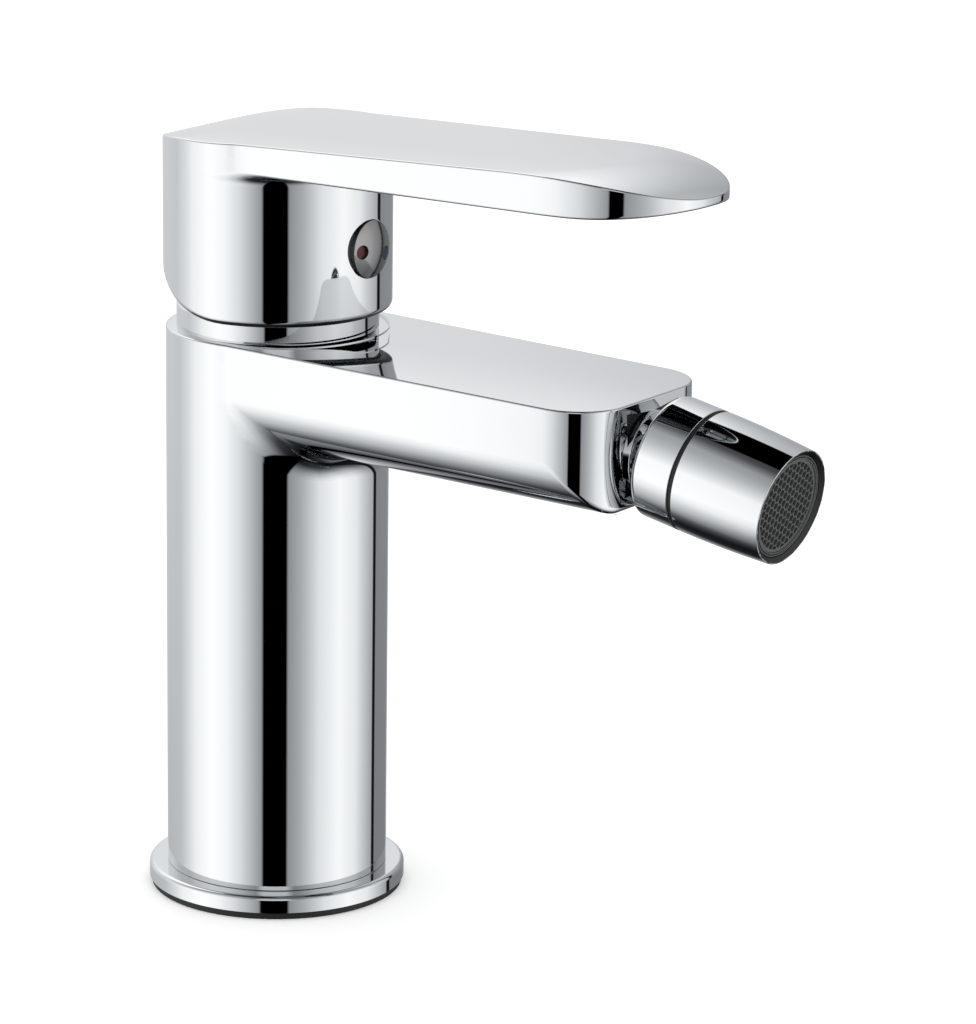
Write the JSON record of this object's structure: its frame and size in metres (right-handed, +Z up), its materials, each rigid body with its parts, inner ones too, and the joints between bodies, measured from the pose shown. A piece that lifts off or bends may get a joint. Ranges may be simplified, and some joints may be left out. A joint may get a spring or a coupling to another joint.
{
  "type": "bidet mixer tap",
  "caption": "Deck-mounted single-lever bidet mixer with a round column, a flat spout, a paddle lever and a swivelling aerator on a ball joint.",
  "frame": {"origin": "centre of the column on the deck, at the underside of the base gasket", "axes": "+Z up the column, +X along the spout towards the user, +Y to the cold side"},
  "size_m": [0.1536, 0.0536, 0.1641],
  "materials": {
    "chrome_plate": "polished chrome plate",
    "plug_chrome": "chrome plated plastic, polished",
    "black_rubber": "moulded black rubber, matt",
    "seal_rubber": "moulded nitrile rubber, matt",
    "cartridge_plastic": "moulded white glass-filled plastic",
    "housing_plastic": "moulded blue glass-filled plastic",
    "alumina": "lapped alumina",
    "steel_pin": "stainless steel, ground",
    "zinc_spindle": "zinc spindle, as cast and tumbled",
    "bare_brass": "turned brass",
    "red_enamel": "red enamel",
    "blue_enamel": "blue enamel",
    "white_acetal": "moulded white acetal",
    "aerator_plastic": "moulded dark grey plastic"
  },
  "bodies": {
    "body": {"body_casting": "chrome_plate", "base_ring": "chrome_plate", "base_gasket": "black_rubber", "collar": "chrome_plate", "cartridge_nut": "bare_brass", "cartridge_housing": "housing_plastic", "cartridge_base": "cartridge_plastic", "port_seals": "seal_rubber", "disc_seals": "seal_rubber", "fixed_ceramic_disc": "alumina", "ball_nipple": "chrome_plate", "nipple_washer": "seal_rubber"},
    "carrier": {"stem_carrier": "cartridge_plastic", "pivot_pin": "steel_pin"},
    "lever": {"lever_handle": "chrome_plate", "cartridge_stem": "zinc_spindle", "grub_screw": "steel_pin", "index_plug": "plug_chrome", "hot_dot": "red_enamel", "cold_dot": "blue_enamel"},
    "disc": {"moving_ceramic_disc": "alumina", "disc_coupler": "cartridge_plastic"},
    "ball_ring": {"ball_o_ring": "seal_rubber"},
    "seat": {"ball_seat": "white_acetal"},
    "head": {"swivel_nut": "chrome_plate", "seam_ring": "black_rubber", "aerator_sleeve": "chrome_plate", "aerator_washer": "seal_rubber", "aerator_housing": "aerator_plastic", "flow_plate": "white_acetal", "honeycomb_insert": "aerator_plastic"}
  },
  "joints": [
    {"name": "temperature_turn", "type": "hinge", "parent": "body", "child": "carrier", "pos_m": [0, 0, 0.1155], "axis": [0, 0, 1], "range_deg": [-45, 45]},
    {"name": "flow_tilt", "type": "hinge", "parent": "carrier", "child": "lever", "pos_m": [0, 0, 0.1155], "axis": [0, -1, 0], "range_deg": [0, 23]},
    {"name": "disc_slide", "type": "slide", "parent": "carrier", "child": "disc", "axis": [1, 0, 0], "range_m": [0, 0.0045]},
    {"name": "aerator_turn", "type": "hinge", "parent": "body", "child": "ball_ring", "pos_m": [0.0993, 0, 0.1067], "axis": [1, 0, 0], "continuous": true},
    {"name": "aerator_tilt", "type": "hinge", "parent": "ball_ring", "child": "seat", "pos_m": [0.0993, 0, 0.1067], "axis": [0, -1, 0], "range_deg": [0, 22.6]},
    {"name": "aerator_spin", "type": "hinge", "parent": "seat", "child": "head", "pos_m": [0.0993, 0, 0.1067], "axis": [0.9806, 0, -0.1959], "continuous": true}
  ],
  "couplings": [
    {"joint": "disc_slide", "follows": "flow_tilt", "m_per_rad": 0.0107}
  ]
}
